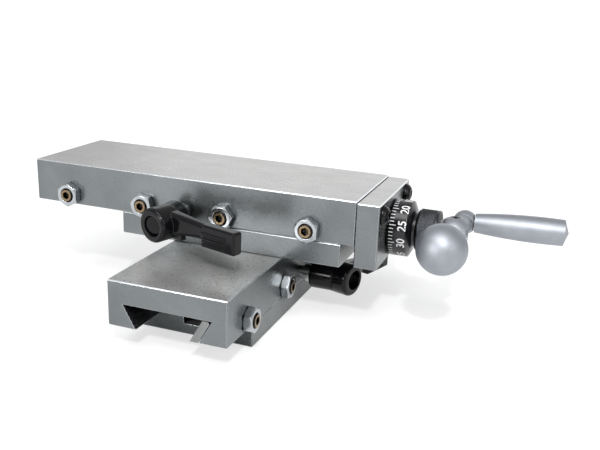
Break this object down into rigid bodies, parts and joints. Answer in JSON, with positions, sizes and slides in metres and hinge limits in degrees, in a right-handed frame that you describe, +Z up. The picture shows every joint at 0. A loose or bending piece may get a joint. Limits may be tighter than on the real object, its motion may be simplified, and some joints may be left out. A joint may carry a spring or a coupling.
{
  "type": "dovetail slide",
  "caption": "Crossed pair of dovetail slides with gibs, lead screws, graduated dials, ball cranks and clamping levers.",
  "frame": {"origin": "centre of the lower base's bottom face", "axes": "+Z up out of the mounting surface; +X along the upper slide towards its crank; +Y along the lower slide towards its crank"},
  "size_m": [0.3092, 0.3092, 0.0762],
  "materials": {
    "machined": "fine ground, satin",
    "gib": "ground",
    "zinc": "bright zinc plate",
    "black_screw": "black oxide, bright at the rims",
    "steel": "turned",
    "bronze": "turned",
    "dial_black": "black anodised, satin",
    "crank": "satin, fine blasted",
    "lever_black": "gloss black",
    "spring": "drawn wire"
  },
  "bodies": {
    "lower_base": {"lower_base": "machined", "lower_feed_nut": "bronze", "lower_feed_nut_screws": "black_screw"},
    "lower_saddle": {"lower_saddle": "machined", "lower_gib": "gib", "lower_gib_screws": "black_screw", "lower_jam_nuts": "zinc", "lower_end_plate": "machined", "lower_end_plate_screws": "black_screw", "lower_bushing": "bronze", "lower_lock_plug": "bronze", "upper_base": "machined", "upper_feed_nut": "bronze", "upper_feed_nut_screws": "black_screw", "upper_base_bolts": "black_screw"},
    "lower_screw": {"lower_lead_screw": "steel", "lower_thrust_collar": "steel", "lower_thrust_collar_screw": "black_screw", "lower_dial_hub": "steel", "lower_crank": "crank", "lower_crank_set_screw": "black_screw", "lower_handle_pin": "steel"},
    "lower_dial": {"lower_dial": "dial_black"},
    "lower_dial_lock_nut": {"lower_dial_lock_nut": "dial_black"},
    "lower_handle": {"lower_handle": "crank"},
    "lower_lock_stud": {"lower_lock_stud": "steel", "lower_lock_screw": "lever_black", "lower_lock_spring": "spring"},
    "lower_lock_lever": {"lower_lock_lever": "lever_black"},
    "upper_saddle": {"upper_saddle": "machined", "upper_gib": "gib", "upper_gib_screws": "black_screw", "upper_jam_nuts": "zinc", "upper_end_plate": "machined", "upper_end_plate_screws": "black_screw", "upper_bushing": "bronze", "upper_lock_plug": "bronze"},
    "upper_screw": {"upper_lead_screw": "steel", "upper_thrust_collar": "steel", "upper_thrust_collar_screw": "black_screw", "upper_dial_hub": "steel", "upper_crank": "crank", "upper_crank_set_screw": "black_screw", "upper_handle_pin": "steel"},
    "upper_dial": {"upper_dial": "dial_black"},
    "upper_dial_lock_nut": {"upper_dial_lock_nut": "dial_black"},
    "upper_handle": {"upper_handle": "crank"},
    "upper_lock_stud": {"upper_lock_stud": "steel", "upper_lock_screw": "lever_black", "upper_lock_spring": "spring"},
    "upper_lock_lever": {"upper_lock_lever": "lever_black"}
  },
  "joints": [
    {"name": "lower_slide", "type": "slide", "parent": "lower_base", "child": "lower_saddle", "axis": [0, 1, 0], "range_m": [-0.0353, 0.0307]},
    {"name": "lower_crank_turn", "type": "hinge", "parent": "lower_saddle", "child": "lower_screw", "pos_m": [0, 0.117, 0.0172], "axis": [0, 1, 0], "range_deg": [-10008, 8712]},
    {"name": "lower_dial_set", "type": "hinge", "parent": "lower_screw", "child": "lower_dial", "pos_m": [0, 0.117, 0.0172], "axis": [0, 1, 0], "continuous": true},
    {"name": "lower_dial_lock", "type": "hinge", "parent": "lower_screw", "child": "lower_dial_lock_nut", "pos_m": [0, 0.117, 0.0172], "axis": [0, 1, 0], "range_deg": [0, 90]},
    {"name": "lower_handle_spin", "type": "hinge", "parent": "lower_screw", "child": "lower_handle", "pos_m": [-0.028, 0.15287, 0.0172], "axis": [-0.0872, 0.9962, 0], "continuous": true},
    {"name": "lower_lock_turn", "type": "hinge", "parent": "lower_saddle", "child": "lower_lock_stud", "pos_m": [0.03375, 0.0017, 0.0193], "axis": [1, 0, 0], "range_deg": [-12, 20]},
    {"name": "lower_lock_lift", "type": "slide", "parent": "lower_lock_stud", "child": "lower_lock_lever", "axis": [1, 0, 0], "range_m": [0, 0.003], "stiffness_N_per_m": 400, "springref_m": -0.004, "deforming": ["lower_lock_spring"]},
    {"name": "upper_slide", "type": "slide", "parent": "lower_saddle", "child": "upper_saddle", "axis": [1, 0, 0], "range_m": [-0.0065, 0.0595]},
    {"name": "upper_crank_turn", "type": "hinge", "parent": "upper_saddle", "child": "upper_screw", "pos_m": [0.08815, 0.0027, 0.0553], "axis": [1, 0, 0], "range_deg": [-1843.2, 16869.6]},
    {"name": "upper_dial_set", "type": "hinge", "parent": "upper_screw", "child": "upper_dial", "pos_m": [0.08815, 0.0027, 0.0553], "axis": [1, 0, 0], "continuous": true},
    {"name": "upper_dial_lock", "type": "hinge", "parent": "upper_screw", "child": "upper_dial_lock_nut", "pos_m": [0.08815, 0.0027, 0.0553], "axis": [1, 0, 0], "range_deg": [0, 90]},
    {"name": "upper_handle_spin", "type": "hinge", "parent": "upper_screw", "child": "upper_handle", "pos_m": [0.12402, 0.0307, 0.0553], "axis": [0.9962, 0.0872, 0], "continuous": true},
    {"name": "upper_lock_turn", "type": "hinge", "parent": "upper_saddle", "child": "upper_lock_stud", "pos_m": [-0.02715, -0.03105, 0.0574], "axis": [0, -1, 0], "range_deg": [-12, 192]},
    {"name": "upper_lock_lift", "type": "slide", "parent": "upper_lock_stud", "child": "upper_lock_lever", "axis": [0, -1, 0], "range_m": [0, 0.003], "stiffness_N_per_m": 400, "springref_m": -0.004, "deforming": ["upper_lock_spring"]}
  ],
  "couplings": [
    {"joint": "lower_crank_turn", "follows": "lower_slide", "rad_per_m": 4947.4},
    {"joint": "upper_crank_turn", "follows": "upper_slide", "rad_per_m": 4947.4}
  ]
}
